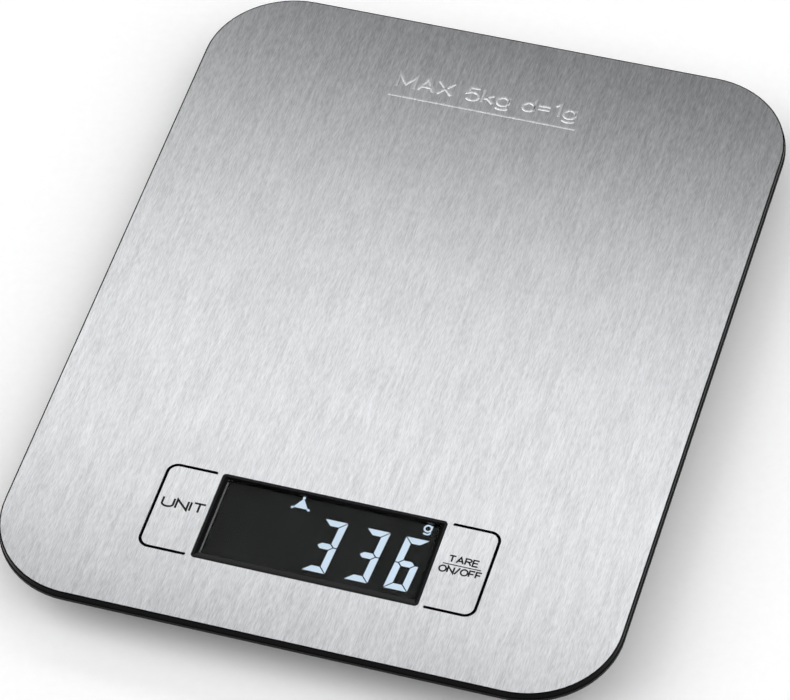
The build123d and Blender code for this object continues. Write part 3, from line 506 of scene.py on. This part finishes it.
new_piece("unit_legend", "unit_key", unit_legend, print_ink)
new_piece("tare_legend", "tare_key", tare_legend, print_ink)

# ---------------------------------------------------------------- display

SEGMENTS = {"3": "abgcd", "6": "afgedc", "8": "abcdefg"}
SEGMENT_LEVELS = (LCD_TOP + 0.01 * MM, LCD_TOP + 0.03 * MM)
GHOST_LEVELS = (LCD_TOP + 0.005 * MM, LCD_TOP + 0.008 * MM)
ICON_LEVELS = [(z, 1.0) for z in SEGMENT_LEVELS]
GHOST_ICON_LEVELS = [(z, 1.0) for z in GHOST_LEVELS]
DIGIT_HEIGHT = 18.4 * MM
DIGIT_WIDTH = 7.1 * MM
DIGIT_STROKE = 2.3 * MM
DIGIT_GAP = 0.18 * MM
DIGIT_SLANT = math.tan(math.radians(4.0))
DIGIT_BASE = WINDOW_Y - 9.85 * MM
ICON_ROW = WINDOW_Y + 12.1 * MM
# the left edge of each place at the base line, and the digit it shows
DIGITS = [(-25.4 * MM, ""), (-14.0 * MM, ""), (-2.5 * MM, "3"), (9.8 * MM, "3"), (21.2 * MM, "6")]
SHRINK_LIMIT = 0.5  # least cosine that moves a sharp corner in

KG_TEXT = {
    "centre_x": 13.5 * MM,
    "base_y": ICON_ROW - 1.6 * MM,
    "height": 3.0 * MM,
    "stretch": 1.1,
    "stroke": 0.5 * MM,
    "gap": 0.5 * MM,
}
GRAM_TEXT = {
    "centre_x": 27.6 * MM,
    "base_y": ICON_ROW - 0.75 * MM,
    "height": 3.2 * MM,
    "stretch": 1.25,
    "stroke": 0.52 * MM,
    "gap": 0,
}
DIAMOND_CENTRE = Vector((-17.5 * MM, ICON_ROW))
DIAMOND_HALF_WIDTH, DIAMOND_HALF_HEIGHT = 2 * MM, 1.6 * MM
DIAMOND_STROKE = 0.4 * MM
BAR_ENDS = (1.0 * MM, 3.0 * MM)
BAR_STROKE = 0.5 * MM
TRIANGLE_CENTRE = Vector((-8.9 * MM, ICON_ROW - 0.4 * MM))
TRIANGLE_TIPS = [Vector((-2.35, -1.75)) * MM, Vector((2.35, -1.75)) * MM, Vector((0, 2.0)) * MM]
TRIANGLE_SHARE = 0.92
STUB_RADIUS = 0.42 * MM
STUB_CORNERS = 12
STUB_RISE = 0.005 * MM


def segment_outline(name):
    """One bar of a seven-segment digit whose lower left corner is the origin."""
    w, h, s = DIGIT_WIDTH, DIGIT_HEIGHT, DIGIT_STROKE
    half = h / 2
    left_bar = [(0, half), (s / 2, half), (s, half + s / 2), (s, h - s), (0, h)]
    shapes = {
        "a": [(0, h), (s, h - s), (w - s, h - s), (w, h)],
        "f": left_bar,
        "g": [(s / 2, half), (s, half - s / 2), (w - s, half - s / 2), (w - s / 2, half)]
        + [(w - s, half + s / 2), (s, half + s / 2)],
    }
    shapes["d"] = [(x, h - y) for x, y in shapes["a"]]
    shapes["e"] = [(x, h - y) for x, y in left_bar]
    shapes["b"] = [(w - x, y) for x, y in left_bar]
    shapes["c"] = [(w - x, h - y) for x, y in left_bar]
    return shrink([Vector(p) for p in shapes[name]], DIGIT_GAP)


def shrink(outline, gap):
    """A convex outline with every edge moved in by a gap."""
    centre = sum(outline, Vector((0, 0))) / len(outline)
    moved = []
    for i in range(len(outline)):
        corner = outline[i]
        ahead = (outline[(i + 1) % len(outline)] - corner).normalized()
        behind = (corner - outline[i - 1]).normalized()
        normals = []
        for direction in (behind, ahead):
            normal = Vector((-direction.y, direction.x))
            normals.append(normal if normal.dot(centre - corner) > 0 else -normal)
        mean = (normals[0] + normals[1]).normalized()
        moved.append(corner + mean * gap / max(SHRINK_LIMIT, mean.dot(normals[0])))
    return moved


def add_digit(builder, names, x, levels):
    for name in names:
        slanted = [(x + p.x + p.y * DIGIT_SLANT, DIGIT_BASE + p.y) for p in segment_outline(name)]
        add_prism(builder, slanted, *levels)


def lit_digits(builder):
    for x, digit in DIGITS:
        add_digit(builder, SEGMENTS.get(digit, ""), x, SEGMENT_LEVELS)


def ghost_digits(builder):
    for x, digit in DIGITS:
        unlit = set(SEGMENTS["8"]) - set(SEGMENTS.get(digit, ""))
        add_digit(builder, sorted(unlit), x, GHOST_LEVELS)
    add_text(builder, "kg", levels=GHOST_ICON_LEVELS, **KG_TEXT)
    corners = ((-1, 0), (0, 1), (1, 0), (0, -1))
    steps = [Vector((DIAMOND_HALF_WIDTH * u, DIAMOND_HALF_HEIGHT * v)) for u, v in corners]
    add_stroke(builder, [step + DIAMOND_CENTRE for step in steps], DIAMOND_STROKE, GHOST_ICON_LEVELS, True)
    add_stroke(builder, [Vector((x, ICON_ROW)) for x in BAR_ENDS], BAR_STROKE, GHOST_ICON_LEVELS)


def stable_icon(builder):
    """A triangle with a round stub at each corner."""
    body = [tuple(TRIANGLE_CENTRE + tip * TRIANGLE_SHARE) for tip in TRIANGLE_TIPS]
    add_prism(builder, body, *SEGMENT_LEVELS)
    circle = arc(0, 0, STUB_RADIUS, STUB_RADIUS, 0, 360, STUB_CORNERS)[:-1]
    for tip in TRIANGLE_TIPS:
        stub = [tuple(TRIANGLE_CENTRE + tip + Vector(p)) for p in circle]
        add_prism(builder, stub, SEGMENT_LEVELS[0], SEGMENT_LEVELS[1] + STUB_RISE)


def unit_icon(builder):
    add_text(builder, "g", levels=ICON_LEVELS, **GRAM_TEXT)


new_piece("digits_lit", "housing", lit_digits, digit_lit)
new_piece("digits_unlit", "housing", ghost_digits, digit_ghost)
new_piece("stable_icon", "housing", stable_icon, digit_lit)
new_piece("unit_icon", "housing", unit_icon, digit_lit)

# ---------------------------------------------------------------- capacity mark, raised in the sheet

MARK_LEVELS = [
    (STEEL_TOP - 0.02 * MM, 1.2),
    (STEEL_TOP + 0.06 * MM, 1.0),
    (STEEL_TOP + 0.13 * MM, 0.7),
    (STEEL_TOP + 0.15 * MM, 0.4),
]
MARK_TEXT = {
    "centre_x": -1.5 * MM,
    "base_y": 88 * MM,
    "height": 4.9 * MM,
    "stretch": 1.45,
    "stroke": 1.0 * MM,
    "gap": 1.15 * MM,
}
RULE_ENDS = (-30.5 * MM, 27.5 * MM)
RULE_Y = 84.2 * MM
RULE_STROKE = 0.7 * MM


def capacity_mark(builder):
    add_text(builder, "MAX 5kg d=1g", levels=MARK_LEVELS, **MARK_TEXT)
    add_stroke(builder, [Vector((x, RULE_Y)) for x in RULE_ENDS], RULE_STROKE, MARK_LEVELS)


new_piece("capacity_mark", "housing", capacity_mark, pressed_steel)

# ---------------------------------------------------------------- floor, light and camera

FLOOR_HALF = 4.0
FLOOR_BOTTOM, FLOOR_TOP = -0.01, -0.0005


def floor_sheet(builder):
    corners = ((-1, -1), (1, -1), (1, 1), (-1, 1))
    add_prism(builder, [(FLOOR_HALF * u, FLOOR_HALF * v) for u, v in corners], FLOOR_BOTTOM, FLOOR_TOP)


new_object("floor", floor_sheet, sweep_paper("floor_paper"))


def area_light(name, place, target, width, depth, watts):
    """A rectangular soft light that faces a point."""
    lamp = bpy.data.lights.new(name, "AREA")
    lamp.shape = "RECTANGLE"
    lamp.size = width
    lamp.size_y = depth
    lamp.energy = watts
    light = bpy.data.objects.new(name, lamp)
    bpy.context.scene.collection.objects.link(light)
    light.location = place
    light.rotation_euler = (Vector(target) - Vector(place)).to_track_quat("-Z", "Y").to_euler()


area_light("back_strip", place=(-0.29, 0.7, 1.0), target=(-0.33, 0, 0), width=3.0, depth=0.29, watts=4.25)
area_light("relief_light", place=(-0.96, 1.2, 0.45), target=(0, 0.09, 0), width=0.5, depth=0.4, watts=0.8)
area_light("left_panel", place=(-2.2, -0.9, 2.2), target=(0, -0.3, 0), width=3.6, depth=2.8, watts=58)
area_light("right_panel", place=(2.2, -0.9, 2.2), target=(0, -0.3, 0), width=3.6, depth=2.8, watts=58)
area_light("front_panel", place=(0.2, -2.2, 2.6), target=(0, 0, 0), width=3.0, depth=2.0, watts=14)
area_light("overhead_panel", place=(0, -0.5, 2.4), target=(0, -0.5, 0), width=2.4, depth=1.2, watts=10)
area_light("back_panel", place=(0, 2.8, 0.8), target=(0, 0, 0), width=3.6, depth=1.2, watts=12)

WORLD_STRENGTH = 0.12

world = bpy.data.worlds.new("studio")
bpy.context.scene.world = world
world.use_nodes = True
background = world.node_tree.nodes["Background"]
background.inputs["Color"].default_value = (1, 1, 1, 1)
background.inputs["Strength"].default_value = WORLD_STRENGTH

CAMERA_PLACE = Vector((0.2828, -0.7464, 0.9947))
CAMERA_TARGET = Vector((0.0005, -0.0095, STEEL_TOP))
CAMERA_ROLL = math.radians(-4.877)
CAMERA_LENS = 200.4
CAMERA_SENSOR = 36.0
CAMERA_REACH = 20.0

camera_data = bpy.data.cameras.new("camera")
camera_data.lens = CAMERA_LENS
camera_data.sensor_width = CAMERA_SENSOR
camera_data.clip_end = CAMERA_REACH
camera = bpy.data.objects.new("camera", camera_data)
bpy.context.scene.collection.objects.link(camera)
camera.location = CAMERA_PLACE
aim = (CAMERA_TARGET - CAMERA_PLACE).to_track_quat("-Z", "Y")
camera.rotation_euler = (aim @ Euler((0, 0, CAMERA_ROLL)).to_quaternion()).to_euler()
bpy.context.scene.camera = camera
bpy.context.scene.view_settings.view_transform = "Standard"
